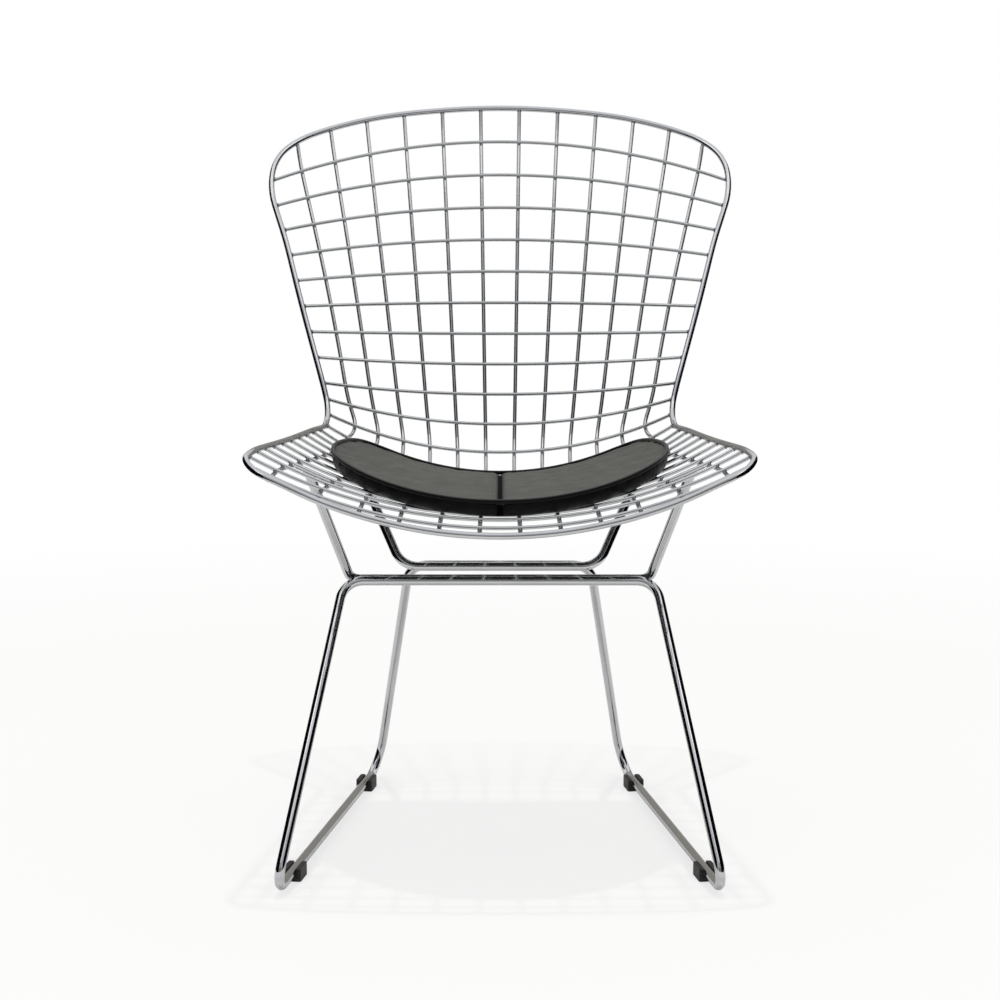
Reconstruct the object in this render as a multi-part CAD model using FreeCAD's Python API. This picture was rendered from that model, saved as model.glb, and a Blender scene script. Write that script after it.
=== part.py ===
import FreeCAD, Part
import math
import os

# Wire mesh chair on a bent rod base, with a loose-laid upholstered seat pad.
# Millimetres, +Z up, the sitter faces -Y, origin under the middle on the floor.

V = FreeCAD.Vector

# Shift that puts the origin under the middle of the overall box
origin_shift_y = 4.75

# Wire and rod stock
rim_diameter = 6.5
long_wire_diameter = 4.4
cross_wire_diameter = 3.8
rod_diameter = 10.0
weld_gap = 0.2
crossing_clearance = 0.15

# Middle line of the basket, seen from the side
back_top_y = 262.0
back_top_z = 788.0
back_top_lean = 20.0
back_radius = 2500.0
back_length = 373.5
bend_radius = 78.0
seat_rise = 2.0
seat_length = 296.5
lip_radius = 139.5
lip_drop_angle = 21.9

# Right half of the basket edge, from the middle of the top to the middle of the front:
# share of the middle line's length, and the place measured from the middle line there,
# given for a mesh whose long wires have these pitches
edge_top_pitch = 44.8
edge_waist_pitch = 31.2
edge_front_pitch = 38.2
top_corner = [
    (0.01, 74.0, 1.4, 4.7),
    (0.03, 148.0, 0.0, 11.2),
    (0.03, 196.0, -9.5, -0.7),
    (0.04, 234.0, -19.7, -8.4),
    (0.05, 253.5, -29.0, -18.5),
    (0.06, 260.8, -37.3, -38.6),
]
side_edge = [
    (0.15, 248.0, -33.0, -17.8),
    (0.24, 230.5, -32.9, -6.4),
    (0.34, 211.5, -34.0, 7.8),
    (0.41, 198.3, -37.0, 20.0),
    (0.47, 192.2, -35.8, 40.0),
    (0.52, 192.8, -22.6, 57.4),
    (0.55, 197.0, -25.7, 64.3),
    (0.71, 213.5, -9.8, 64.8),
    (0.87, 231.0, -0.8, 63.6),
]
wing_corner = [
    (0.94, 238.5, 4.5, 61.6),
    (0.96, 239.5, -0.8, 58.4),
    (0.96, 230.0, -13.3, 50.4),
    (0.97, 210.0, -11.0, 42.3),
]
front_edge = [
    (0.97, 174.0, -16.5, 26.4),
    (0.98, 118.0, -12.9, 10.0),
    (0.99, 60.0, -7.4, 1.0),
]

# Wires of the mesh
long_wire_count = 12
cross_wire_count = 23
top_pitch = 44.8
waist_pitch = 31.2
front_pitch = 38.2
wing_flare = 15.0
wing_flare_power = 6
waist_row = 11.5
top_gap_spread = 0.2
front_gather = 8.5
back_inset = 15.0
back_inset_power = 3.4
back_inset_first_row = -1.5
back_inset_last_row = 13.5

# Places of the cross wires' ends along the rim, for the half rim length they are given for
rim_rows_length = 1213.1
first_rim_station = 303.0
back_rim_gap = 30.9
corner_rim_gap = 19.0
wing_rim_gap = 30.7
corner_first_row = 9
corner_last_row = 12
end_search_start = 26.0
end_search_rounds = 12
normal_step_rows = 0.25
straight_limit = 1e-6

# Rod base
rod_axis_height = 8.5
crossbar_below_seat = 80.8
crossbar_gap = 0.1
front_bar_y = -48.0
rear_bar_y = 52.0
front_bar_half = 162.7
rear_bar_half = 99.0
front_foot_x = 219.5
front_foot_y = -234.0
rear_foot_x = 145.6
rear_foot_y = 244.0
front_foot_radius = 16.0
rear_foot_radius = 28.0
front_corner_radius = 24.0
rear_corner_radius = 24.0
front_yoke_half = 157.0
rear_yoke_half = 107.0
front_yoke_radius = 12.0
rear_yoke_radius = 28.0
front_strut_aim = (8.0, 6.4, -5.7)
rear_strut_aim = (4.6, 0.2, 0.6)
strut_overrun = 30.0
strut_trim_block = 160.0

# Seat brackets, each a strip welded under two neighbouring wires
bracket_thickness = 3.0
bracket_width = 15.0
bracket_gap = 0.7
bracket_overhang = 5.0
bracket_wires = (4.5, 5.5)
front_bracket_row = 18.6
rear_bracket_row = 12.52

# Glides clipped on the runners
glide_length = 28.0
glide_width = 19.0
glide_height = 13.0
glide_edge = 2.5
glide_clearance = 0.1
glide_mouth_share = 0.86
glide_from_front = 79.0
glide_from_rear = 70.0

# Seat pad, its edge from the middle of the rear to the middle of the front,
# measured from where the straight run of the seat begins
pad_edge = [
    (0.0, 1.3),
    (98.0, 1.3),
    (133.0, -4.7),
    (154.0, -29.7),
    (167.0, -81.7),
    (173.0, -146.7),
    (165.0, -203.7),
    (137.0, -251.7),
    (93.0, -291.7),
    (45.0, -312.7),
    (0.0, -317.7),
]
pad_clearance = 0.3
pad_thickness = 15.0
pad_cover = 1.2
pad_core_gap = 0.3
pad_piping_diameter = 4.5
pad_piping_gap = 0.4
pad_piping_points = 36
pad_seam_gap = 0.3
pad_half_space = 400.0
pad_first_row = 12.0
pad_last_row = 23.6
pad_sheet_half = 190.0
pad_sheet_rows = 14
pad_sheet_columns = 15


def up_along(vector):
    """Unit vector of the given one."""
    unit = V(vector)
    unit.normalize()
    return unit


def profile_point(distance):
    """Point of the middle line at a length measured from the top rim."""
    lean = math.radians(90.0 - back_top_lean)
    back_turn = back_length / back_radius
    back_end = -lean - back_turn
    bend_turn = -back_end + math.radians(seat_rise)
    bend_length = bend_radius * bend_turn
    forward = 0.0
    up = 0.0

    def along_arc(start, turn, radius):
        """Run forward and rise of an arc that starts at an angle and turns upward."""
        run = radius * (math.sin(start + turn) - math.sin(start))
        rise = radius * (math.cos(start) - math.cos(start + turn))
        return run, rise

    step = min(distance, back_length)
    run, rise = along_arc(-lean, -step / back_radius, -back_radius)
    forward += run
    up += rise
    if distance > back_length:
        step = min(distance - back_length, bend_length)
        run, rise = along_arc(back_end, step / bend_radius, bend_radius)
        forward += run
        up += rise
    if distance > back_length + bend_length:
        step = min(distance - back_length - bend_length, seat_length)
        forward += step * math.cos(math.radians(seat_rise))
        up += step * math.sin(math.radians(seat_rise))
    if distance > back_length + bend_length + seat_length:
        step = distance - back_length - bend_length - seat_length
        run, rise = along_arc(math.radians(seat_rise), -step / lip_radius, -lip_radius)
        forward += run
        up += rise
    return V(0, back_top_y - forward, back_top_z + up)


def seat_distance():
    """Length along the middle line from the top rim to where the straight run of the seat begins."""
    lean = math.radians(90.0 - back_top_lean)
    bend_turn = lean + back_length / back_radius + math.radians(seat_rise)
    return back_length + bend_radius * bend_turn


def profile_length():
    """Whole length of the middle line, from the top rim to the front rim."""
    lip_turn = math.radians(seat_rise + lip_drop_angle)
    return seat_distance() + seat_length + lip_radius * lip_turn


seat_start = profile_point(seat_distance())
crossbar_height = seat_start.z - crossbar_below_seat


def tangent_arc(start, heading, end):
    """Arc that leaves a point along a heading and ends at another point."""
    chord = end - start
    along = up_along(chord)
    aside = heading - along * heading.dot(along)
    if aside.Length < straight_limit:
        return Part.makeLine(start, end)
    bulge = chord.Length / 2.0 * math.tan(heading.getAngle(along) / 2.0)
    return Part.Arc(start, (start + end) * 0.5 + up_along(aside) * bulge, end).toShape()


def smooth_path(points, first_heading=None, last_heading=None):
    """Chain of tangent arcs through the points, two arcs to each span."""
    curve = Part.BSplineCurve()
    if first_heading:
        curve.interpolate(points, InitialTangent=first_heading, FinalTangent=last_heading, Scale=False)
    else:
        curve.interpolate(points)
    stations = [(curve.value(knot), up_along(curve.tangent(knot)[0])) for knot in curve.getKnots()]
    edges = []
    for (start, leaving), (end, arriving) in zip(stations, stations[1:]):
        chord = end - start
        both = chord.dot(leaving + arriving)
        turn = 2.0 * (1.0 - leaving.dot(arriving))
        reach = chord.dot(chord) / (both + math.sqrt(both ** 2 + turn * chord.dot(chord)))
        joint = (start + leaving * reach + end - arriving * reach) * 0.5
        edges.append(tangent_arc(start, leaving, joint))
        back = tangent_arc(end, arriving * -1.0, joint)
        back.reverse()
        edges.append(back)
    return edges


def edge_scale(share):
    """Width of the mesh at a share of the middle line, against the width the edge points are given for."""
    top = top_pitch / edge_top_pitch
    waist = waist_pitch / edge_waist_pitch
    front = front_pitch / edge_front_pitch
    waist_share = waist_row / (cross_wire_count + 1)
    if share < waist_share:
        return top + (waist - top) * share / waist_share
    return waist + (front - waist) * (share - waist_share) / (1.0 - waist_share)


def rim_half():
    """Right half of the basket's edge, from the middle of the top to the middle of the front."""
    length = profile_length()
    points = [profile_point(0.0)]
    for share, x, y, z in top_corner + side_edge + wing_corner + front_edge:
        points.append(profile_point(share * length) + V(x * edge_scale(share), y, z))
    points.append(profile_point(length))
    return smooth_path(points, V(1, 0, 0), V(-1, 0, 0))


rim = rim_half()
rim_half_length = sum(edge.Length for edge in rim)


def path_point(path, distance):
    """Point at a length along a chain of edges."""
    left = distance
    for edge in path:
        if left <= edge.Length or edge is path[-1]:
            break
        left -= edge.Length
    left = min(left, edge.Length)
    if edge.Orientation == "Reversed":
        left = edge.Length - left
    return edge.valueAt(edge.getParameterByLength(left))


def rim_point(distance):
    """Point of the rim at a length from the middle of the top, positive towards +X."""
    point = path_point(rim, abs(distance))
    return V(math.copysign(point.x, distance), point.y, point.z)


def end_reach(station, heading, diameter):
    """Length a wire stops short of the rim's centre line, so that its end only just clears it."""
    corner = rim_point(station)
    away = up_along(heading)
    ring = Part.Compound(rim)
    reach = end_search_start
    for _ in range(end_search_rounds):
        end = Part.makeCircle(diameter / 2.0, corner + away * reach, away)
        reach -= end.distToShape(ring)[0] - rim_diameter / 2.0 - weld_gap
    return reach


def gathered_row(row):
    """Place of a cross wire counted in even rows, the wires of the seat being drawn to its front."""
    share = (row - waist_row) / (cross_wire_count + 1 - waist_row)
    share = min(1.0, max(0.0, share))
    return row + front_gather * share ** 3 * (1.0 - share)


def rim_station(row):
    """Length along the rim at which a cross wire meets it."""
    row = gathered_row(row)
    station = first_rim_station
    for index in range(1, cross_wire_count):
        share = min(1.0, max(0.0, row - index))
        if index < corner_first_row:
            station += back_rim_gap * share
        elif index < corner_last_row:
            station += corner_rim_gap * share
        else:
            station += wing_rim_gap * share
    station += wing_rim_gap * max(0.0, row - cross_wire_count)
    return station * rim_half_length / rim_rows_length


def row_distance(row):
    """Length along the middle line at which a cross wire passes, closer spaced lower down."""
    share = gathered_row(row) / (cross_wire_count + 1)
    spread = top_gap_spread * share * (1.0 - share) ** 2
    return profile_length() * (share + spread)


def row_point(row, offset):
    """Point of the basket on a cross wire's arc, a length away from the middle."""
    right = rim_point(rim_station(row))
    middle = profile_point(row_distance(row))
    rise = V(0, right.y - middle.y, right.z - middle.z)
    sag = rise.Length
    radius = (right.x ** 2 + sag ** 2) / (2.0 * sag)
    angle = offset / radius
    return middle + V(radius * math.sin(angle), 0, 0) + up_along(rise) * radius * (1.0 - math.cos(angle))


def wire_offset(row, number):
    """Length from the middle at which a long wire crosses a row, number counted from the middle."""
    side_share = abs(number) / ((long_wire_count - 1) / 2.0)
    inset_share = (row - back_inset_first_row) / (back_inset_last_row - back_inset_first_row)
    inset_share = min(1.0, max(0.0, inset_share))
    inset = back_inset * math.sin(math.pi * inset_share) * side_share ** back_inset_power
    if row < waist_row:
        pitch = waist_pitch + (top_pitch - waist_pitch) * (waist_row - row) / waist_row
        return number * pitch - math.copysign(inset, number)
    share = (gathered_row(row) - waist_row) / (cross_wire_count + 1 - waist_row)
    pitch = waist_pitch + (front_pitch - waist_pitch) * share
    flare = wing_flare * share * side_share ** wing_flare_power
    return number * pitch + math.copysign(flare - inset, number)


def basket_normal(row, offset_at):
    """Unit normal of the basket that points away from the sitter."""
    above = row - normal_step_rows
    below = row + normal_step_rows
    along = row_point(below, offset_at(below)) - row_point(above, offset_at(above))
    across = row_point(row, offset_at(row) + 1.0) - row_point(row, offset_at(row) - 1.0)
    return up_along(along.cross(across)) * -1.0


def tube(path, diameter):
    """Round bar along a path of edges."""
    first = path[0]
    start = first.valueAt(first.FirstParameter)
    heading = first.tangentAt(first.FirstParameter)
    circle = Part.makeCircle(diameter / 2.0, start, heading)
    section = Part.Face(Part.Wire([circle]))
    return Part.Wire(path).makePipe(section)


def bent_path(corners, radii):
    """Straight runs joined by tangent arcs at the inner corners."""
    edges = []
    start = V(*corners[0])
    for index in range(1, len(corners) - 1):
        corner = V(*corners[index])
        towards = up_along(V(*corners[index - 1]) - corner)
        away = up_along(V(*corners[index + 1]) - corner)
        half = towards.getAngle(away) / 2.0
        reach = radii[index - 1] / math.tan(half)
        arc_start = corner + towards * reach
        arc_end = corner + away * reach
        bisector = up_along(towards + away)
        middle = corner + bisector * (radii[index - 1] / math.sin(half) - radii[index - 1])
        edges.append(Part.makeLine(start, arc_start))
        edges.append(Part.Arc(arc_start, middle, arc_end).toShape())
        start = arc_end
    edges.append(Part.makeLine(start, V(*corners[-1])))
    return edges


def ring(half_path, diameter):
    """Round bar bent into a closed ring, its right half mirrored to the left."""
    half = tube(half_path, diameter)
    skin = [face for face in half.Faces if abs(face.CenterOfMass.x) > weld_gap]
    skin += [face.mirror(V(0, 0, 0), V(1, 0, 0)) for face in skin]
    shell = Part.Shell(skin)
    shell.sewShape()
    return Part.Solid(shell)


def cross_wire(row):
    """Thin wire from rim to rim, on the sitter's side of the long wires."""
    station = rim_station(row)
    right = rim_point(station)
    circle = Part.Arc(V(-right.x, right.y, right.z), profile_point(row_distance(row)), right).toShape()
    heading = circle.tangentAt(circle.LastParameter) * -1.0
    trim = end_reach(station, heading, cross_wire_diameter) / circle.Length
    first = circle.FirstParameter
    span = circle.LastParameter - first
    edge = circle.Curve.toShape(first + trim * span, first + (1.0 - trim) * span)
    return tube([edge], cross_wire_diameter)


def long_wire_point(row, number):
    """Centre of a long wire where it passes under a cross wire."""
    depth = (cross_wire_diameter + long_wire_diameter) / 2.0 + crossing_clearance

    def offset_at(at_row):
        return wire_offset(at_row, number)

    return row_point(row, offset_at(row)) + basket_normal(row, offset_at) * depth


def long_wire(number):
    """Wire from the top rim down the back and along the seat to the front rim."""
    if number < 0:
        return long_wire(-number).mirror(V(0, 0, 0), V(1, 0, 0))
    points = [long_wire_point(row, number) for row in range(1, cross_wire_count + 1)]
    top_station = wire_offset(0, number)
    front_station = rim_half_length - wire_offset(cross_wire_count + 1, number)
    ends = []
    for station, neighbour in ((top_station, points[0]), (front_station, points[-1])):
        corner = rim_point(station)
        heading = neighbour - corner
        ends.append(corner + up_along(heading) * end_reach(station, heading, long_wire_diameter))
    points.insert(0, ends[0])
    points.append(ends[1])
    return tube(smooth_path(points), long_wire_diameter)


def leg_frame(side):
    """One bent rod: half crossbar, front leg, runner, rear leg, half crossbar."""
    corners = [
        (side * weld_gap / 2.0, front_bar_y, crossbar_height),
        (side * front_bar_half, front_bar_y, crossbar_height),
        (side * front_foot_x, front_foot_y, rod_axis_height),
        (side * rear_foot_x, rear_foot_y, rod_axis_height),
        (side * rear_bar_half, rear_bar_y, crossbar_height),
        (side * weld_gap / 2.0, rear_bar_y, crossbar_height),
    ]
    radii = [front_corner_radius, front_foot_radius, rear_foot_radius, rear_corner_radius]
    return tube(bent_path(corners, radii), rod_diameter)


def bracket_frame(row):
    """Middle, long direction and normal of a seat bracket under two long wires."""
    ends = []
    normals = []
    for number in bracket_wires:
        def offset_at(at_row, wire=number):
            return wire_offset(at_row, wire)

        normal = basket_normal(row, offset_at)
        depth = (long_wire_diameter + bracket_thickness) / 2.0 + bracket_gap
        ends.append(long_wire_point(row, number) + normal * depth)
        normals.append(normal)
    middle = (ends[0] + ends[1]) * 0.5
    along = up_along(ends[1] - ends[0])
    normal = normals[0] + normals[1]
    normal = up_along(normal - along * normal.dot(along))
    half_length = (ends[1] - ends[0]).Length / 2.0 + bracket_overhang
    return middle, along, normal, half_length


def seat_bracket(row, side):
    """Flat steel strip between a strut and the wires of the seat."""
    middle, along, normal, half_length = bracket_frame(row)
    strip = Part.makeBox(2.0 * half_length, bracket_width, bracket_thickness)
    strip.translate(V(-half_length, -bracket_width / 2.0, -bracket_thickness / 2.0))
    across = normal.cross(along)
    matrix = FreeCAD.Matrix(
        along.x, across.x, normal.x, middle.x,
        along.y, across.y, normal.y, middle.y,
        along.z, across.z, normal.z, middle.z,
        0, 0, 0, 1)
    strip = strip.transformGeometry(matrix)
    if side < 0:
        strip = strip.mirror(V(0, 0, 0), V(1, 0, 0))
    return strip


def strut_yoke(bar_y, bar_half, radius, aim, row):
    """One bent rod: strut, bar beside the crossbar, strut, cut to its brackets."""
    middle, along, normal, half_length = bracket_frame(row)
    bottom = V(bar_half, bar_y, crossbar_height)
    top = middle + V(*aim)
    end = top + up_along(top - bottom) * strut_overrun
    corners = [
        (-end.x, end.y, end.z),
        (-bar_half, bar_y, crossbar_height),
        (bar_half, bar_y, crossbar_height),
        (end.x, end.y, end.z),
    ]
    yoke = tube(bent_path(corners, [radius, radius]), rod_diameter)
    face_point = middle + normal * (bracket_thickness / 2.0 + weld_gap)
    for side in (1, -1):
        block = Part.makeBox(strut_trim_block, strut_trim_block, strut_trim_block)
        block.translate(V(-strut_trim_block / 2.0, -strut_trim_block / 2.0, -strut_trim_block))
        across = normal.cross(along)
        matrix = FreeCAD.Matrix(
            along.x, across.x, normal.x, face_point.x,
            along.y, across.y, normal.y, face_point.y,
            along.z, across.z, normal.z, face_point.z,
            0, 0, 0, 1)
        block = block.transformGeometry(matrix)
        if side < 0:
            block = block.mirror(V(0, 0, 0), V(1, 0, 0))
        yoke = yoke.cut(block).Solids[0]
    return yoke


def glide(side, at_rear):
    """Plastic foot that clips round the underside of a runner."""
    front = V(side * front_foot_x, front_foot_y, rod_axis_height)
    rear = V(side * rear_foot_x, rear_foot_y, rod_axis_height)
    along = up_along(rear - front)
    if at_rear:
        middle = rear - along * glide_from_rear
    else:
        middle = front + along * glide_from_front
    block = Part.makeBox(glide_length, glide_width, glide_height)
    block.translate(V(-glide_length / 2.0, -glide_width / 2.0, 0))
    upright = [edge for edge in block.Edges if abs(edge.tangentAt(edge.FirstParameter).z) > 0.9]
    block = block.makeFillet(glide_edge, upright)
    channel = Part.makeCylinder(
        rod_diameter / 2.0 + glide_clearance, 2.0 * glide_length,
        V(-glide_length, 0, rod_axis_height), V(1, 0, 0))
    mouth_width = glide_mouth_share * rod_diameter
    mouth = Part.makeBox(2.0 * glide_length, mouth_width, glide_height)
    mouth.translate(V(-glide_length, -mouth_width / 2.0, rod_axis_height))
    block = block.cut(channel).cut(mouth)
    block.rotate(V(0, 0, 0), V(0, 0, 1), math.degrees(math.atan2(along.y, along.x)))
    block.translate(V(middle.x, middle.y, 0))
    return block.Solids[0]


def basket_sheet(height):
    """Spline surface that follows the seat at a height above the cross wires' centres."""
    grid = []
    for i in range(pad_sheet_rows):
        row = pad_first_row + (pad_last_row - pad_first_row) * i / (pad_sheet_rows - 1)
        line = []
        for j in range(pad_sheet_columns):
            offset = pad_sheet_half * (2.0 * j / (pad_sheet_columns - 1) - 1.0)

            def offset_at(at_row, value=offset):
                return value

            line.append(row_point(row, offset) - basket_normal(row, offset_at) * height)
        grid.append(line)
    surface = Part.BSplineSurface()
    surface.interpolate(grid)
    return surface


def pad_half():
    """Right half of the pad's plan outline at the floor's height, from the rear to the front."""
    points = [V(x, seat_start.y + y, 0) for x, y in pad_edge]
    return smooth_path(points, V(1, 0, 0), V(-1, 0, 0))


def pad_outline(inset):
    """Whole plan outline of the pad, drawn in by a margin."""
    right = pad_half()
    left = [edge.mirror(V(0, 0, 0), V(1, 0, 0)) for edge in right]
    outline = Part.Wire(Part.__sortEdges__(right + left))
    return outline.makeOffset2D(-inset)


def pad_block(inset, low, high):
    """Pad-shaped solid between two heights above the cross wires' centres."""
    lower = basket_sheet(low)
    upper = basket_sheet(high)
    faces = [lower.toShape(), upper.toShape()]
    u0, u1, v0, v1 = lower.bounds()
    for u in (u0, u1):
        faces.append(Part.makeRuledSurface(lower.uIso(u).toShape(), upper.uIso(u).toShape()))
    for v in (v0, v1):
        faces.append(Part.makeRuledSurface(lower.vIso(v).toShape(), upper.vIso(v).toShape()))
    shell = Part.Shell(faces)
    shell.sewShape()
    slab = Part.Solid(shell)
    if slab.Volume < 0:
        slab.reverse()
    prism = Part.Face(pad_outline(inset)).extrude(V(0, 0, back_top_z))
    return slab.common(prism).Solids[0]


def pad_piping():
    """Cord round the top edge of the pad."""
    top = basket_sheet(cross_wire_diameter / 2.0 + pad_clearance + pad_thickness)
    outline = pad_half()
    length = sum(edge.Length for edge in outline)
    points = []
    for index in range(pad_piping_points + 1):
        station = length * index / pad_piping_points
        point = path_point(outline, station)
        heading = path_point(outline, station + 1.0) - path_point(outline, max(0.0, station - 1.0))
        if index in (0, pad_piping_points):
            heading = V(math.copysign(1.0, heading.x), 0, 0)
        inward = up_along(heading).cross(V(0, 0, 1))
        point += inward * pad_piping_diameter / 2.0
        crossing = Part.Line(point, point + V(0, 0, 1)).intersectCS(top)[0][0]
        points.append(V(crossing.X, crossing.Y, crossing.Z))
    return ring(smooth_path(points, V(1, 0, 0), V(-1, 0, 0)), pad_piping_diameter)


def half_space(side):
    """Block that covers one side of the middle plane, clear of it by half the seam gap."""
    block = Part.makeBox(pad_half_space, 2.0 * pad_half_space, 2.0 * pad_half_space)
    start = pad_seam_gap / 2.0 if side > 0 else -pad_half_space - pad_seam_gap / 2.0
    block.translate(V(start, -pad_half_space, 0))
    return block


def pad_pieces():
    """Foam core, and the two halves of the cover round it."""
    low = cross_wire_diameter / 2.0 + pad_clearance
    high = low + pad_thickness
    side = pad_piping_diameter + pad_piping_gap
    inner = pad_cover + pad_core_gap
    core = pad_block(side + inner, low + inner, high - inner)
    cavity = pad_block(side + pad_cover, low + pad_cover, high - pad_cover)
    cover = pad_block(side, low, high).cut(cavity)
    return {
        "pad_foam_core": core,
        "pad_cover_left": cover.common(half_space(-1)).Solids[0],
        "pad_cover_right": cover.common(half_space(1)).Solids[0],
    }


def build():
    """All pieces of the chair by name."""
    parts = {"rim_wire": ring(rim, rim_diameter)}
    middle = (long_wire_count - 1) / 2.0
    for index in range(long_wire_count):
        parts[f"long_wire_{index + 1:02d}"] = long_wire(index - middle)
    for row in range(1, cross_wire_count + 1):
        parts[f"cross_wire_{row:02d}"] = cross_wire(row)
    bar_offset = rod_diameter + crossbar_gap
    parts["front_strut_yoke"] = strut_yoke(
        front_bar_y + bar_offset, front_yoke_half, front_yoke_radius, front_strut_aim, front_bracket_row)
    parts["rear_strut_yoke"] = strut_yoke(
        rear_bar_y - bar_offset, rear_yoke_half, rear_yoke_radius, rear_strut_aim, rear_bracket_row)
    for side, name in ((-1, "left"), (1, "right")):
        parts[f"leg_frame_{name}"] = leg_frame(side)
        parts[f"seat_bracket_front_{name}"] = seat_bracket(front_bracket_row, side)
        parts[f"seat_bracket_rear_{name}"] = seat_bracket(rear_bracket_row, side)
        parts[f"glide_front_{name}"] = glide(side, False)
        parts[f"glide_rear_{name}"] = glide(side, True)
    parts.update(pad_pieces())
    parts["pad_piping"] = pad_piping()
    return parts


os.makedirs("parts", exist_ok=True)
for name, shape in build().items():
    shape.translate(V(0, origin_shift_y, 0))
    shape.exportStep(f"parts/{name}.step")
    print(name, shape.ShapeType, shape.isValid(), round(shape.Volume, 1))
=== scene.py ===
import math

import bmesh
import bpy
import numpy as np
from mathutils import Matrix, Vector
from mathutils.bvhtree import BVHTree


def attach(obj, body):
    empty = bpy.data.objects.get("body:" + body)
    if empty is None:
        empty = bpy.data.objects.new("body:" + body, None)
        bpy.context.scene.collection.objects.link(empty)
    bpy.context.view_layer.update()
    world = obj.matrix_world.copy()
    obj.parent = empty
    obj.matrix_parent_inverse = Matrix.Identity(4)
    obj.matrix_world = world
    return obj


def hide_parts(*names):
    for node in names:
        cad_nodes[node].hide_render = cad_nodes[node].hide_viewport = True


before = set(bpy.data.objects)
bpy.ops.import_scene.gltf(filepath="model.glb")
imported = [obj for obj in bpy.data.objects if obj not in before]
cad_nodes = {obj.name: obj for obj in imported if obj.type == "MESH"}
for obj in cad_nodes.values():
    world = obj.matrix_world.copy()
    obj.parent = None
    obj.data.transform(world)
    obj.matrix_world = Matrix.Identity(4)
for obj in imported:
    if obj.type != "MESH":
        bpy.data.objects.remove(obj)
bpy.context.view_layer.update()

# A chromium-plated wire chair on a bent rod base, with a black leathercloth seat pad.
# Metres, +Z up, the sitter faces -Y. Sizes written in millimetres are multiplied by MM.
MM = 0.001

LONG_WIRES = [f"long_wire_{index:02d}" for index in range(1, 13)]
CROSS_WIRES = [f"cross_wire_{index:02d}" for index in range(1, 24)]
RODS = ["leg_frame_left", "leg_frame_right", "front_strut_yoke", "rear_strut_yoke"]
STRIPS = [f"seat_bracket_{end}_{side}" for end in ("front", "rear") for side in ("left", "right")]
GLIDES = [f"glide_{end}_{side}" for end in ("front", "rear") for side in ("left", "right")]


# Materials

def linear(hex_colour):
    """Linear RGBA of an sRGB hex colour."""
    channels = [int(hex_colour[index:index + 2], 16) / 255 for index in (1, 3, 5)]
    return tuple(c / 12.92 if c <= 0.04045 else ((c + 0.055) / 1.055) ** 2.4 for c in channels) + (1.0,)


def add(tree, kind, inputs=None, **settings):
    """Adds a node, sets its properties, then gives its inputs their values or links."""
    node = tree.nodes.new(kind)
    for name, value in settings.items():
        setattr(node, name, value)
    for key, value in (inputs or {}).items():
        if isinstance(value, bpy.types.Node):
            value = value.outputs[0]
        if isinstance(value, bpy.types.NodeSocket):
            tree.links.new(value, node.inputs[key])
        else:
            node.inputs[key].default_value = value
    return node


def new_material(name):
    """Empty node material and its tree."""
    material = bpy.data.materials.new(name)
    material.use_nodes = True
    material.node_tree.nodes.clear()
    return material, material.node_tree


def per_millimetre(size):
    """Noise scale, on coordinates in metres, whose features are a size in millimetres."""
    return 1.0 / (size * MM)


def chromed_steel(name, bright, dull, ripple_mm, ripple_height, haze_low, haze_high):
    """Decorative chromium over polished nickel on drawn steel: a mirror, faintly rippled, hazy in patches."""
    material, tree = new_material(name)
    place = add(tree, "ShaderNodeTexCoord").outputs["Object"]
    patches = add(tree, "ShaderNodeTexNoise", {"Vector": place, "Scale": per_millimetre(45), "Detail": 3.0})
    tone = add(tree, "ShaderNodeMix", {
        0: patches.outputs["Fac"], 6: linear(dull), 7: linear(bright)}, data_type="RGBA")
    smears = add(tree, "ShaderNodeTexNoise", {"Vector": place, "Scale": per_millimetre(14), "Detail": 4.0})
    haze = add(tree, "ShaderNodeMapRange", {
        "Value": smears.outputs["Fac"], "From Min": 0.35, "From Max": 0.7,
        "To Min": haze_low, "To Max": haze_high})
    ripple = add(tree, "ShaderNodeTexNoise", {
        "Vector": place, "Scale": per_millimetre(ripple_mm), "Detail": 2.0})
    relief = add(tree, "ShaderNodeBump", {
        "Strength": 1.0, "Distance": ripple_height * MM, "Height": ripple.outputs["Fac"]})
    plate = add(tree, "ShaderNodeBsdfPrincipled", {
        "Base Color": tone.outputs[2], "Metallic": 1.0, "Roughness": haze, "Normal": relief})
    add(tree, "ShaderNodeOutputMaterial", {"Surface": plate})
    return material


# Painted shade on the cover: faces whose normal rises less than SIDE_FACING are painted near black with gloss
# SIDE_GLOSS, faces above TOP_FACING keep their tone with gloss TOP_GLOSS; the seam's painted shade is darkest
# within SEAM_CORE of its half width.
SIDE_FACING = 0.55
TOP_FACING = 0.9
SIDE_GLOSS = 0.12
TOP_GLOSS = 0.4
SEAM_CORE = 0.45


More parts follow.
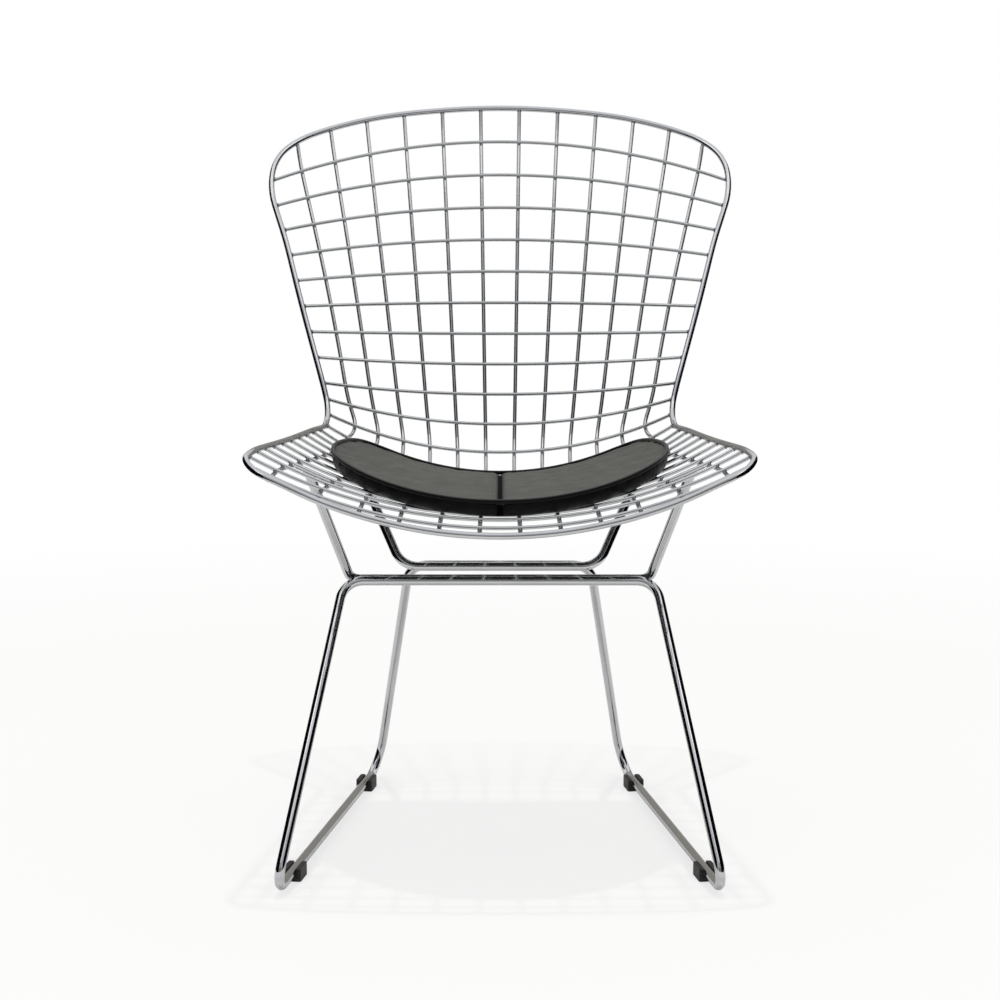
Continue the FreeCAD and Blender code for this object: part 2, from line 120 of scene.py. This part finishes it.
def leathercloth(name, hide, worn, grain_mm, grain_height, seam_half_mm=0.0):
    """Vinyl-coated upholstery cloth with an embossed hide grain: dark, with a broad soft sheen.

    The grain is drawn coarser than a real one, so that it shows. Faces that turn down, and a seam, are
    painted near black and dull: painted shade, standing for the folded cloth that catches little light there.
    """
    material, tree = new_material(name)
    place = add(tree, "ShaderNodeTexCoord").outputs["Object"]
    pores = add(tree, "ShaderNodeTexVoronoi", {
        "Vector": place, "Scale": per_millimetre(grain_mm), "Randomness": 1.0}, feature="DISTANCE_TO_EDGE")
    furrows = add(tree, "ShaderNodeMapRange", {
        "Value": pores.outputs["Distance"], "From Min": 0.0, "From Max": 0.18, "To Min": 0.0, "To Max": 1.0})
    creases = add(tree, "ShaderNodeTexNoise", {
        "Vector": place, "Scale": per_millimetre(22), "Detail": 5.0, "Distortion": 0.6})
    height = add(tree, "ShaderNodeMath", {
        0: creases.outputs["Fac"], 1: 1.6, 2: furrows.outputs[0]}, operation="MULTIPLY_ADD")
    relief = add(tree, "ShaderNodeBump", {
        "Strength": 0.8, "Distance": grain_height * MM, "Height": height})
    handled = add(tree, "ShaderNodeTexNoise", {"Vector": place, "Scale": per_millimetre(60), "Detail": 2.0})
    tone = add(tree, "ShaderNodeMix", {
        0: handled.outputs["Fac"], 6: linear(hide), 7: linear(worn)}, data_type="RGBA")
    facing = add(tree, "ShaderNodeNewGeometry").outputs["Normal"]
    upward = add(tree, "ShaderNodeSeparateXYZ", {0: facing}).outputs["Z"]
    # Painted shade: faces that turn down are painted near black and lose most of their gloss.
    turned = add(tree, "ShaderNodeMapRange", {
        "Value": upward, "From Min": SIDE_FACING, "From Max": TOP_FACING, "To Min": 0.0, "To Max": 1.0})
    colour = add(tree, "ShaderNodeMix", {
        0: turned, 6: linear("#040405"), 7: tone.outputs[2]}, data_type="RGBA").outputs[2]
    gloss = add(tree, "ShaderNodeMapRange", {
        "Value": upward, "From Min": SIDE_FACING, "From Max": TOP_FACING,
        "To Min": SIDE_GLOSS, "To Max": TOP_GLOSS}).outputs[0]
    # Painted shade in the seam's groove: a near-black line without gloss along the middle of the pad.
    if seam_half_mm:
        across = add(tree, "ShaderNodeSeparateXYZ", {0: place}).outputs["X"]
        away = add(tree, "ShaderNodeMath", {0: across}, operation="ABSOLUTE")
        shade = add(tree, "ShaderNodeMapRange", {
            "Value": away, "From Min": SEAM_CORE * seam_half_mm * MM, "From Max": seam_half_mm * MM,
            "To Min": 1.0, "To Max": 0.0})
        colour = add(tree, "ShaderNodeMix", {
            0: shade, 6: colour, 7: linear("#020202")}, data_type="RGBA").outputs[2]
        open_cloth = add(tree, "ShaderNodeMath", {0: 1.0, 1: shade}, operation="SUBTRACT")
        gloss = add(tree, "ShaderNodeMath", {0: gloss, 1: open_cloth}, operation="MULTIPLY")
    polish = add(tree, "ShaderNodeMapRange", {
        "Value": creases.outputs["Fac"], "From Min": 0.3, "From Max": 0.7, "To Min": 0.36, "To Max": 0.5})
    skin = add(tree, "ShaderNodeBsdfPrincipled", {
        "Base Color": colour, "Roughness": polish, "Specular IOR Level": gloss,
        "Sheen Weight": 0.06, "Sheen Roughness": 0.5, "Normal": relief})
    add(tree, "ShaderNodeOutputMaterial", {"Surface": skin})
    return material


def moulded_nylon(name):
    """Black injection-moulded nylon, spark-eroded mould: matt, finely pitted, scuffed low down."""
    material, tree = new_material(name)
    place = add(tree, "ShaderNodeTexCoord").outputs["Object"]
    pits = add(tree, "ShaderNodeTexNoise", {"Vector": place, "Scale": per_millimetre(0.8), "Detail": 2.0})
    relief = add(tree, "ShaderNodeBump", {
        "Strength": 0.6, "Distance": 0.06 * MM, "Height": pits.outputs["Fac"]})
    rise = add(tree, "ShaderNodeSeparateXYZ", {0: place}).outputs["Z"]
    scuff = add(tree, "ShaderNodeMapRange", {
        "Value": rise, "From Min": 0.0, "From Max": 4.0 * MM, "To Min": 0.7, "To Max": 0.0})
    specks = add(tree, "ShaderNodeTexNoise", {"Vector": place, "Scale": per_millimetre(3), "Detail": 4.0})
    worn = add(tree, "ShaderNodeMath", {0: scuff, 1: specks.outputs["Fac"]}, operation="MULTIPLY")
    tone = add(tree, "ShaderNodeMix", {0: worn, 6: linear("#0b0b0b"), 7: linear("#3a3936")}, data_type="RGBA")
    body = add(tree, "ShaderNodeBsdfPrincipled", {
        "Base Color": tone.outputs[2], "Roughness": 0.55, "Normal": relief})
    add(tree, "ShaderNodeOutputMaterial", {"Surface": body})
    return material


wire_chrome = chromed_steel("chromed_drawn_wire", "#c9cbce", "#aeb0b2", 5.0, 0.05, 0.10, 0.20)
rim_chrome = chromed_steel("chromed_rim_bar", "#cdced2", "#b4b6b9", 9.0, 0.05, 0.07, 0.15)
rod_chrome = chromed_steel("chromed_bent_rod", "#cfd0d3", "#b9bbbd", 14.0, 0.05, 0.05, 0.12)
weld_chrome = chromed_steel("chromed_resistance_weld", "#a9aaab", "#7d7e80", 1.2, 0.12, 0.22, 0.38)
strip_chrome = chromed_steel("chromed_flat_strip", "#c6c8ca", "#a4a6a8", 6.0, 0.04, 0.12, 0.24)
pad_skin = leathercloth("vinyl_leathercloth", "#262722", "#33342d", 1.6, 0.10, 4.5)
piping_skin = leathercloth("vinyl_piping_cloth", "#121211", "#1c1c1a", 1.3, 0.08)
glide_nylon = moulded_nylon("moulded_nylon_glide")


def finish_node(names, material):
    """Gives CAD nodes a material."""
    for name in names:
        mesh = cad_nodes[name].data
        mesh.materials.clear()
        mesh.materials.append(material)


finish_node(["rim_wire"], rim_chrome)
finish_node(LONG_WIRES + CROSS_WIRES, wire_chrome)
finish_node(RODS, rod_chrome)
finish_node(STRIPS, strip_chrome)
finish_node(GLIDES, glide_nylon)


# Geometry helpers

def new_piece(name, vertices, edges=(), faces=()):
    """Mesh object linked to the scene, at the origin."""
    mesh = bpy.data.meshes.new(name)
    mesh.from_pydata([tuple(v) for v in vertices], list(edges), list(faces))
    mesh.update()
    piece = bpy.data.objects.new(name, mesh)
    bpy.context.scene.collection.objects.link(piece)
    return piece


def node_group(name, sockets):
    """Empty geometry tree with named inputs; gives the tree and its input and output nodes."""
    tree = bpy.data.node_groups.new(name, "GeometryNodeTree")
    tree.interface.new_socket("Geometry", in_out="INPUT", socket_type="NodeSocketGeometry")
    for label, kind in sockets:
        tree.interface.new_socket(label, in_out="INPUT", socket_type=kind)
    tree.interface.new_socket("Geometry", in_out="OUTPUT", socket_type="NodeSocketGeometry")
    return tree, add(tree, "NodeGroupInput")


def grown(piece, tree, values):
    """The piece's mesh after the geometry tree has run on it with these named values, as plain mesh."""
    modifier = piece.modifiers.new("rule", "NODES")
    modifier.node_group = tree
    for item in tree.interface.items_tree:
        if item.in_out == "INPUT" and item.name in values:
            modifier[item.identifier] = values[item.name]
    bpy.context.view_layer.update()
    evaluated = piece.evaluated_get(bpy.context.evaluated_depsgraph_get())
    mesh = bpy.data.meshes.new_from_object(evaluated)
    piece.modifiers.clear()
    mesh.name = piece.name
    piece.data = mesh
    return piece


# Welds

def weld_tree():
    """Flattened beads on points, turned to face each point's own direction."""
    tree, given = node_group("weld_beads", [
        ("Bead size", "NodeSocketVector"), ("Unevenness", "NodeSocketFloat"),
        ("Seed", "NodeSocketInt"), ("Finish", "NodeSocketMaterial")])
    bead = add(tree, "GeometryNodeMeshIcoSphere", {"Radius": 1.0, "Subdivisions": 2})
    facing = add(tree, "GeometryNodeInputNamedAttribute", {"Name": "facing"}, data_type="FLOAT_VECTOR")
    turn = add(tree, "FunctionNodeAlignRotationToVector", {"Vector": facing}, axis="Z")
    least = add(tree, "ShaderNodeMath", {0: 1.0, 1: given.outputs["Unevenness"]}, operation="SUBTRACT")
    most = add(tree, "ShaderNodeMath", {0: 1.0, 1: given.outputs["Unevenness"]}, operation="ADD")
    varied = add(tree, "FunctionNodeRandomValue", {
        2: least, 3: most, "Seed": given.outputs["Seed"]}, data_type="FLOAT")
    size = add(tree, "ShaderNodeVectorMath", {
        0: given.outputs["Bead size"], "Scale": varied.outputs[1]}, operation="SCALE")
    beads = add(tree, "GeometryNodeInstanceOnPoints", {
        "Points": given.outputs["Geometry"], "Instance": bead, "Rotation": turn, "Scale": size})
    solid = add(tree, "GeometryNodeRealizeInstances", {0: beads})
    smooth = add(tree, "GeometryNodeSetShadeSmooth", {0: solid})
    dressed = add(tree, "GeometryNodeSetMaterial", {
        "Geometry": smooth, "Material": given.outputs["Finish"]})
    add(tree, "NodeGroupOutput", {0: dressed})
    return tree


SEARCH_TURNS = 40
POINT_STEP = 6
WIRE_END_REACH = 5.0
RIM_WELD_DEPTH = 0.4
CROSSBAR_HEIGHT = 285.5
GROOVE_RISE = 3.3
GROOVE_WELDS = [(-38.2, (-128, -45, 45, 128)), (51.7, (-78, 0, 78))]


def surface_of(name):
    """Search tree over a CAD node's faces."""
    mesh = cad_nodes[name].data
    return BVHTree.FromPolygons([v.co for v in mesh.vertices], [p.vertices for p in mesh.polygons])


def closest_pair(one, other, start):
    """Nearest points of two surfaces, reached by turns from a starting point."""
    on_other = start
    for _ in range(SEARCH_TURNS):
        on_one = one.find_nearest(on_other)[0]
        on_other = other.find_nearest(on_one)[0]
    return on_one, on_other


def sites_to_points(name, sites):
    """Loose vertices with the direction that each weld faces."""
    piece = new_piece(name, [place for place, facing in sites])
    attribute = piece.data.attributes.new("facing", "FLOAT_VECTOR", "POINT")
    attribute.data.foreach_set("vector", [c for place, facing in sites for c in facing])
    return piece


def crossing_sites():
    """Where each long wire passes under each cross wire."""
    sites = []
    surfaces = {name: surface_of(name) for name in LONG_WIRES + CROSS_WIRES}
    points = {name: np.array([v.co for v in cad_nodes[name].data.vertices]) for name in surfaces}
    for long_name in LONG_WIRES:
        for cross_name in CROSS_WIRES:
            cross_points = points[cross_name][::POINT_STEP]
            long_points = points[long_name][::POINT_STEP]
            gaps = np.linalg.norm(cross_points[:, None, :] - long_points[None, :, :], axis=2)
            nearest = np.unravel_index(gaps.argmin(), gaps.shape)[0]
            start = Vector(cross_points[nearest])
            under, over = closest_pair(surfaces[long_name], surfaces[cross_name], start)
            sites.append(((under + over) / 2, (over - under).normalized()))
    return sites


def rim_sites():
    """Where the ends of the mesh wires meet the rim."""
    rim = surface_of("rim_wire")
    sites = []
    for name in LONG_WIRES + CROSS_WIRES:
        points = np.array([v.co for v in cad_nodes[name].data.vertices])
        if name in LONG_WIRES:
            ends = [points[points[:, 2].argmax()], points[points[:, 1].argmin()]]
        else:
            ends = [points[points[:, 0].argmax()], points[points[:, 0].argmin()]]
        for end in ends:
            near = np.linalg.norm(points - end, axis=1) < WIRE_END_REACH * MM
            centre = Vector(points[near].mean(axis=0))
            on_rim = rim.find_nearest(centre)[0]
            facing = (on_rim - centre).normalized()
            sites.append((on_rim - facing * RIM_WELD_DEPTH * MM, facing))
    return sites


def bar_sites():
    """Runs of weld in the groove between each crossbar and the yoke beside it."""
    sites = []
    for groove_y, places in GROOVE_WELDS:
        for x in places:
            for side in (1, -1):
                height = CROSSBAR_HEIGHT + side * GROOVE_RISE
                sites.append((Vector((x, groove_y, height)) * MM, Vector((0, 0, side))))
    return sites


beads = weld_tree()
weld_kinds = [
    ("crossing_welds", crossing_sites, (1.9, 1.9, 0.95), 0.12, 3),
    ("rim_welds", rim_sites, (2.6, 2.6, 1.1), 0.10, 5),
    ("crossbar_welds", bar_sites, (11.0, 2.6, 1.5), 0.08, 7),
]
for name, find_sites, size_mm, unevenness, seed in weld_kinds:
    welds = sites_to_points(name, find_sites())
    grown(welds, beads, {
        "Bead size": [s * MM for s in size_mm], "Unevenness": unevenness,
        "Seed": seed, "Finish": weld_chrome})
    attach(welds, "root")


# Seat pad

PAD_START_Y = 86.5
PAD_EDGE = [
    (0, 1.3), (98, 1.3), (133, -4.7), (154, -29.7), (167, -81.7), (173, -146.7),
    (165, -203.7), (137, -251.7), (93, -291.7), (45, -312.7), (0, -317.7)]
PIPING_RADIUS = 2.25
COVER_AND_GAP = 1.5
TOP_EDGE_INSET = 0.9
BELLY_INSET = 0.7
LOW_EDGE_INSET = 3.2
PAD_MIDDLE_FROM_START = 158.0
CROWN_RISE = 1.2
CROWN_SHARPNESS = 6
INNERMOST_RING = 0.06
TOP_RINGS = 16
UNDERSIDE_FIRST_RING = 0.97
UNDERSIDE_RINGS = 12
LOW_EDGE_ROUNDING = 0.6
VOXEL_SIZE = 3.8

SWELL_FRAMES = 20
HELD_HEIGHT_SHARE = 0.7
HELD_EDGE_WIDTH = 7.0
MOST_SWELL = 7.0

# Depth and half width of the seam's groove and of the dip beside it
SEAM_GROOVE = (2.6, 3.0)
SEAM_DIP = (1.1, 11.0)

# Height of the gathers, how far they reach in, and their waves round the pad
GATHER_HEIGHT = 0.35
GATHER_REACH = 12.0
GATHER_WAVES = (46.0, 29.0)
GATHER_CENTRE_Y = -70.0

# Height of the puckers beside the seam, how far they reach, and their waves along it
PUCKER_HEIGHT = 0.3
PUCKER_REACH = 9.0
PUCKER_WAVES = (0.42, 0.11)


def pad_outline(inset_mm, steps=9):
    """Closed plan outline of the pad, drawn in by a margin, in metres."""
    corners = PAD_EDGE + [(-x, y) for x, y in PAD_EDGE[-2:0:-1]]
    points = []
    count = len(corners)
    for index in range(count):
        p0, p1, p2, p3 = (np.array(corners[(index + k) % count], float) for k in (-1, 0, 1, 2))
        for step in range(steps):
            t = step / steps
            points.append(0.5 * (2 * p1 + (p2 - p0) * t + (2 * p0 - 5 * p1 + 4 * p2 - p3) * t ** 2
                                 + (3 * p1 - p0 - 3 * p2 + p3) * t ** 3))
    points = np.array(points)
    heading = np.roll(points, -1, axis=0) - np.roll(points, 1, axis=0)
    heading /= np.linalg.norm(heading, axis=1)[:, None]
    inward = np.stack([heading[:, 1], -heading[:, 0]], axis=1)
    drawn_in = points + inward * inset_mm
    return (drawn_in + np.array([0.0, PAD_START_Y])) * MM


def surface_terms(x, y):
    """Even powers across and plain powers along, for a smooth saddle."""
    x, y = np.asarray(x) * 10.0, np.asarray(y) * 10.0
    return np.stack([x ** (2 * i) * y ** j for i in range(3) for j in range(5 - i)], axis=-1)


def fitted_height(side):
    """Smooth height over the plan of the foam core's upper or lower face, moved out to the cover's face."""
    faces = [p for p in cad_nodes["pad_foam_core"].data.polygons if p.normal.z * side > 0.5]
    x = [p.center.x for p in faces]
    y = [p.center.y for p in faces]
    z = [p.center.z + COVER_AND_GAP * MM / p.normal.z for p in faces]
    terms = np.linalg.lstsq(surface_terms(x, y), np.array(z), rcond=None)[0]
    return lambda px, py: surface_terms(px, py) @ terms


upper_face = fitted_height(1)
lower_face = fitted_height(-1)


def pad_shell():
    """Closed pad: crowned top, side band, and a flat underside that follows the wires."""
    around = len(pad_outline(0.0))
    middle = np.array([0.0, (PAD_START_Y - PAD_MIDDLE_FROM_START) * MM])
    top_edge = pad_outline(TOP_EDGE_INSET)
    low_edge = pad_outline(LOW_EDGE_INSET)
    belly = pad_outline(BELLY_INSET)
    rings = []
    for share in np.linspace(INNERMOST_RING, 1.0, TOP_RINGS):
        plan = middle + (top_edge - middle) * share
        lift = CROWN_RISE * MM * (1.0 - share ** CROWN_SHARPNESS)
        rings.append((plan, upper_face(plan[:, 0], plan[:, 1]) + lift))
    top_z = upper_face(top_edge[:, 0], top_edge[:, 1])
    low_z = lower_face(low_edge[:, 0], low_edge[:, 1])
    rings.append((belly, top_z * 0.5 + low_z * 0.5))
    rings.append((low_edge, low_z + LOW_EDGE_ROUNDING * MM))
    for share in np.linspace(UNDERSIDE_FIRST_RING, INNERMOST_RING, UNDERSIDE_RINGS):
        plan = middle + (low_edge - middle) * share
        rings.append((plan, lower_face(plan[:, 0], plan[:, 1])))
    vertices = [(x, y, z) for plan, height in rings for (x, y), z in zip(plan, height)]
    faces = []
    for ring in range(len(rings) - 1):
        for step in range(around):
            a = ring * around + step
            b = ring * around + (step + 1) % around
            faces.append((a, b, b + around, a + around))
    faces.append(tuple(range(around))[::-1])
    last = (len(rings) - 1) * around
    faces.append(tuple(range(last, last + around)))
    piece = new_piece("pad_cushion", vertices, faces=faces)
    mesh = bmesh.new()
    mesh.from_mesh(piece.data)
    bmesh.ops.recalc_face_normals(mesh, faces=mesh.faces)
    mesh.to_mesh(piece.data)
    mesh.free()
    return piece


def apply_modifiers(piece):
    """Replaces the piece's mesh by its evaluated one."""
    bpy.context.view_layer.update()
    evaluated = piece.evaluated_get(bpy.context.evaluated_depsgraph_get())
    mesh = bpy.data.meshes.new_from_object(evaluated)
    piece.modifiers.clear()
    piece.data = mesh


def edge_distance(plan_points, outline):
    """Distance in plan from each point to a closed outline."""
    gaps = np.linalg.norm(plan_points[:, None, :] - outline[None, :, :], axis=2)
    return gaps.min(axis=1)


def inflate(piece, most_rise_mm):
    """Lets air pressure swell the remeshed cover, held at its edge and underneath."""
    rest = np.array([v.co for v in piece.data.vertices])
    held = piece.vertex_groups.new(name="held")
    low = lower_face(rest[:, 0], rest[:, 1])
    high = upper_face(rest[:, 0], rest[:, 1])
    share = (rest[:, 2] - low) / (high - low)
    from_edge = edge_distance(rest[:, :2], pad_outline(PIPING_RADIUS))
    for index in np.nonzero((share < HELD_HEIGHT_SHARE) | (from_edge < HELD_EDGE_WIDTH * MM))[0]:
        held.add([int(index)], 1.0, "REPLACE")
    cloth = piece.modifiers.new("swell", "CLOTH")
    cloth.settings.quality = 6
    cloth.settings.mass = 0.3
    cloth.settings.tension_stiffness = 12
    cloth.settings.compression_stiffness = 12
    cloth.settings.bending_stiffness = 0.8
    cloth.settings.use_pressure = True
    cloth.settings.uniform_pressure_force = 4.0
    cloth.settings.effector_weights.gravity = 0.0
    cloth.settings.vertex_group_mass = "held"
    cloth.point_cache.frame_start = 1
    cloth.point_cache.frame_end = SWELL_FRAMES
    for step in range(1, SWELL_FRAMES + 1):
        bpy.context.scene.frame_set(step)
    apply_modifiers(piece)
    moved = np.array([v.co for v in piece.data.vertices]) - rest
    reach = np.linalg.norm(moved, axis=1)
    limit = most_rise_mm * MM
    shrink = np.where(reach > limit, limit / np.maximum(reach, 1e-9), 1.0)
    piece.data.vertices.foreach_set("co", (rest + moved * shrink[:, None]).ravel())
    bpy.context.scene.frame_set(1)


def sew(piece):
    """Presses the middle seam in, and gathers the cover a little along the seam and the piping."""
    piece.data.update()
    spots = np.array([v.co for v in piece.data.vertices])
    normals = np.array([v.normal for v in piece.data.vertices])
    seam = 0.0
    for depth, half_width in (SEAM_GROOVE, SEAM_DIP):
        seam = seam + depth * np.exp(-(spots[:, 0] / (half_width * MM)) ** 2)
    above = np.clip(normals[:, 2] * 1.5 + 0.5, 0.0, 1.0)
    from_edge = edge_distance(spots[:, :2], pad_outline(PIPING_RADIUS))
    angle = np.arctan2(spots[:, 0], spots[:, 1] - GATHER_CENTRE_Y * MM)
    gathers = GATHER_HEIGHT * np.exp(-from_edge / (GATHER_REACH * MM)) * (
        np.sin(angle * GATHER_WAVES[0]) + 0.6 * np.sin(angle * GATHER_WAVES[1] + 1.3))
    along = spots[:, 1] / MM
    puckers = PUCKER_HEIGHT * np.exp(-np.abs(spots[:, 0]) / (PUCKER_REACH * MM)) * np.sin(
        along * PUCKER_WAVES[0] + 0.7 * np.sin(along * PUCKER_WAVES[1]))
    push = (gathers + puckers - seam) * above * MM
    piece.data.vertices.foreach_set("co", (spots + normals * push[:, None]).ravel())
    piece.data.update()


cushion = pad_shell()
remesh = cushion.modifiers.new("even_mesh", "REMESH")
remesh.mode = "VOXEL"
remesh.voxel_size = VOXEL_SIZE * MM
apply_modifiers(cushion)
inflate(cushion, MOST_SWELL)
subdivide = cushion.modifiers.new("fine_mesh", "SUBSURF")
subdivide.levels = 1
subdivide.render_levels = 1
apply_modifiers(cushion)
sew(cushion)
cushion.data.materials.clear()
cushion.data.materials.append(pad_skin)
cushion.data.shade_smooth()
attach(cushion, "root")
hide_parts("pad_foam_core", "pad_cover_left", "pad_cover_right")


def piping_tree():
    """Round cord along the closed line that it is given."""
    tree, given = node_group("piping_cord", [
        ("Cord radius", "NodeSocketFloat"), ("Facets", "NodeSocketInt"), ("Finish", "NodeSocketMaterial")])
    line = add(tree, "GeometryNodeMeshToCurve", {"Mesh": given.outputs["Geometry"]})
    section = add(tree, "GeometryNodeCurvePrimitiveCircle", {
        "Resolution": given.outputs["Facets"], "Radius": given.outputs["Cord radius"]})
    cord = add(tree, "GeometryNodeCurveToMesh", {"Curve": line, "Profile Curve": section})
    solid = add(tree, "GeometryNodeRealizeInstances", {0: cord})
    smooth = add(tree, "GeometryNodeSetShadeSmooth", {0: solid})
    dressed = add(tree, "GeometryNodeSetMaterial", {
        "Geometry": smooth, "Material": given.outputs["Finish"]})
    add(tree, "NodeGroupOutput", {0: dressed})
    return tree


piping_plan = pad_outline(PIPING_RADIUS, steps=12)
piping_height = upper_face(piping_plan[:, 0], piping_plan[:, 1])
piping_line = [(x, y, z) for (x, y), z in zip(piping_plan, piping_height)]
count = len(piping_line)
piping = new_piece("seat_piping", piping_line, edges=[(i, (i + 1) % count) for i in range(count)])
grown(piping, piping_tree(), {"Cord radius": PIPING_RADIUS * MM, "Facets": 14, "Finish": piping_skin})
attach(piping, "root")
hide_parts("pad_piping")


# Studio

FLOOR_LIFT = 0.67
FLOOR_RADIUS = 2.4
FLOOR_BELOW = 0.0004
FADE_START = 1.0
FADE_END = 2.2
WORLD_FILL = 0.74

# The camera that fits the photograph
CAMERA_LENS = 73.97
CAMERA_SENSOR = 36.0
CAMERA_PLACE = (0.0, -2.1603, 0.6566)
CAMERA_PITCH = -7.693


def studio_floor():
    """Pale round floor, lifted towards white where the camera sees it, that fades into the background."""
    material, tree = new_material("studio_floor")
    place = add(tree, "ShaderNodeTexCoord").outputs["Object"]
    away = add(tree, "ShaderNodeVectorMath", {0: place}, operation="LENGTH").outputs["Value"]
    clear = add(tree, "ShaderNodeMapRange", {"Value": away, "From Min": FADE_START, "From Max": FADE_END})
    paint = add(tree, "ShaderNodeBsdfDiffuse", {"Color": linear("#faf9f7")})
    white = add(tree, "ShaderNodeEmission", {"Color": linear("#ffffff"), "Strength": 1.0})
    path = add(tree, "ShaderNodeLightPath")
    lift = add(tree, "ShaderNodeMath", {
        0: path.outputs["Is Camera Ray"], 1: FLOOR_LIFT}, operation="MULTIPLY")
    lifted = add(tree, "ShaderNodeMixShader", {0: lift, 1: paint, 2: white})
    gone = add(tree, "ShaderNodeBsdfTransparent")
    mixed = add(tree, "ShaderNodeMixShader", {0: clear, 1: lifted, 2: gone})
    add(tree, "ShaderNodeOutputMaterial", {"Surface": mixed})
    bpy.ops.mesh.primitive_circle_add(
        vertices=96, radius=FLOOR_RADIUS, fill_type="NGON", location=(0, 0, -FLOOR_BELOW))
    floor = bpy.context.object
    floor.name = "floor"
    floor.data.materials.append(material)
    return floor


def card(name, place, turn, size, colour, glow=0.0):
    """Card seen only in the chrome, as a studio sets round bright metal: dark, or a glowing soft box."""
    material, tree = new_material(name)
    if glow:
        face = add(tree, "ShaderNodeEmission", {"Color": linear(colour), "Strength": glow})
    else:
        face = add(tree, "ShaderNodeBsdfDiffuse", {"Color": linear(colour)})
    add(tree, "ShaderNodeOutputMaterial", {"Surface": face})
    bpy.ops.mesh.primitive_plane_add(size=1.0, location=place, rotation=[math.radians(a) for a in turn])
    board = bpy.context.object
    board.name = name
    board.scale = (size[0], size[1], 1.0)
    board.data.materials.append(material)
    for ray in ("camera", "diffuse", "shadow", "transmission", "volume_scatter"):
        setattr(board, "visible_" + ray, False)
    return board


def lamp(name, place, target, size, watts):
    """Square area lamp aimed at a point, kept out of the chrome."""
    light = bpy.data.lights.new(name, "AREA")
    light.size = size
    light.energy = watts
    holder = bpy.data.objects.new(name, light)
    holder.location = place
    aim = Vector(target) - Vector(place)
    holder.rotation_euler = aim.to_track_quat("-Z", "Y").to_euler()
    holder.visible_glossy = False
    bpy.context.scene.collection.objects.link(holder)


def studio_world():
    """White to the camera and in the metal, a gentler fill for everything else."""
    world = bpy.data.worlds.new("studio")
    world.use_nodes = True
    tree = world.node_tree
    tree.nodes.clear()
    path = add(tree, "ShaderNodeLightPath")
    seen = add(tree, "ShaderNodeMath", {
        0: path.outputs["Is Camera Ray"], 1: path.outputs["Is Glossy Ray"]}, operation="MAXIMUM")
    seen = add(tree, "ShaderNodeMath", {0: seen, 1: path.outputs["Is Transmission Ray"]}, operation="MAXIMUM")
    fill = add(tree, "ShaderNodeBackground", {"Color": linear("#ffffff"), "Strength": WORLD_FILL})
    white = add(tree, "ShaderNodeBackground", {"Color": linear("#ffffff"), "Strength": 1.0})
    mixed = add(tree, "ShaderNodeMixShader", {0: seen, 1: fill, 2: white})
    add(tree, "ShaderNodeOutputWorld", {"Surface": mixed})
    bpy.context.scene.world = world


studio_world()
studio_floor()
card("card_left", (-0.70, -0.35, 0.55), (0, 90, 0), (1.1, 1.7), "#08090c")
card("card_right", (0.70, -0.35, 0.55), (0, 90, 0), (1.1, 1.7), "#08090c")
card("card_above_camera", (0, -2.9, 2.1), (90, 0, 0), (3.4, 2.0), "#b4b8be", 1.0)
card("card_below_camera", (0, -2.9, 0.45), (90, 0, 0), (3.4, 1.3), "#8c867a", 1.0)
card("card_behind", (0, 2.2, 0.7), (90, 0, 0), (3.6, 1.4), "#a09c95", 1.0)
card("soft_box_left", (-0.75, -1.3, 2.2), (50, 0, -25), (0.5, 0.5), "#ffffff", 2.2)
card("soft_box_right", (0.75, -1.3, 2.2), (50, 0, 25), (0.5, 0.5), "#ffffff", 2.2)
lamp("lamp_overhead", (0, -0.35, 5.0), (0, 0, 0), 0.12, 50)
lamp("lamp_left", (-1.1, -1.2, 2.2), (0, 0, 0.4), 0.5, 3)
lamp("lamp_right", (1.1, -1.2, 2.2), (0, 0, 0.4), 0.5, 3)

camera_data = bpy.data.cameras.new("photo_camera")
camera_data.sensor_width = CAMERA_SENSOR
camera_data.lens = CAMERA_LENS
camera = bpy.data.objects.new("photo_camera", camera_data)
camera.location = CAMERA_PLACE
camera.rotation_euler = (math.radians(90.0 + CAMERA_PITCH), 0.0, 0.0)
bpy.context.scene.collection.objects.link(camera)
bpy.context.scene.camera = camera
bpy.context.scene.view_settings.view_transform = "Standard"
